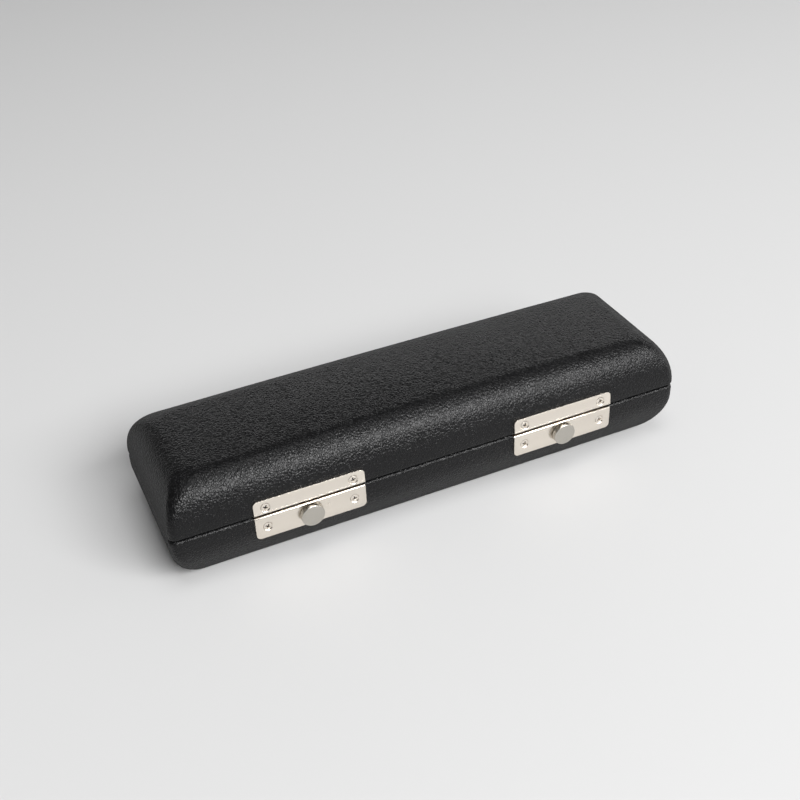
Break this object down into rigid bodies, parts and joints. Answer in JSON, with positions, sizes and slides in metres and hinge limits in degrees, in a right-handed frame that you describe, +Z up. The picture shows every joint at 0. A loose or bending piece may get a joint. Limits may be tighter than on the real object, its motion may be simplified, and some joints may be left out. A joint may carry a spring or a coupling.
{
  "type": "piccolo case",
  "caption": "Small hard case for a piccolo: pillow-shaped leatherette lid and base, back hinges, sliding-knob latches, plush wells inside.",
  "frame": {"origin": "on the floor, under the middle of the shell", "axes": "+X along the case, -Y towards the latches, +Z up"},
  "size_m": [0.235, 0.0756, 0.0486],
  "materials": {
    "leatherette": "fine grained black leatherette, soft sheen",
    "wood": "moulded plywood",
    "plush": "short plush pile",
    "nickel_plate": "satin nickel plate",
    "knob_metal": "turned satin metal",
    "screw_metal": "nickel plated",
    "inner_steel": "zinc plated steel",
    "spring_steel": "bright spring wire"
  },
  "bodies": {
    "base": {"base_shell": "wood", "base_cover": "leatherette", "well_block": "plush", "latch_plate_left": "nickel_plate", "latch_plate_right": "nickel_plate", "latch_guide_left": "inner_steel", "latch_guide_right": "inner_steel", "latch_spring_left": "spring_steel", "latch_spring_right": "spring_steel", "base_latch_screws": "screw_metal", "hinge_leaf_lower_left": "nickel_plate", "hinge_leaf_lower_right": "nickel_plate", "hinge_pin_left": "inner_steel", "hinge_pin_right": "inner_steel", "base_hinge_screws": "screw_metal"},
    "lid": {"lid_shell": "wood", "lid_cover": "leatherette", "lid_lining": "plush", "catch_plate_left": "nickel_plate", "catch_plate_right": "nickel_plate", "lid_latch_screws": "screw_metal", "hinge_leaf_upper_left": "nickel_plate", "hinge_leaf_upper_right": "nickel_plate", "lid_hinge_screws": "screw_metal"},
    "knob_left": {"knob_left": "knob_metal", "bolt_left": "inner_steel"},
    "knob_right": {"knob_right": "knob_metal", "bolt_right": "inner_steel"}
  },
  "joints": [
    {"name": "lid_hinge", "type": "hinge", "parent": "base", "child": "lid", "pos_m": [0, 0.0362, 0.026], "axis": [-1, 0, 0], "range_deg": [0, 100]},
    {"name": "left_latch_slide", "type": "slide", "parent": "base", "child": "knob_left", "axis": [1, 0, 0], "range_m": [0, 0.0032], "stiffness_N_per_m": 300, "springref_m": -0.004, "deforming": ["latch_spring_left"]},
    {"name": "right_latch_slide", "type": "slide", "parent": "base", "child": "knob_right", "axis": [1, 0, 0], "range_m": [0, 0.0032], "stiffness_N_per_m": 300, "springref_m": -0.004, "deforming": ["latch_spring_right"]}
  ]
}
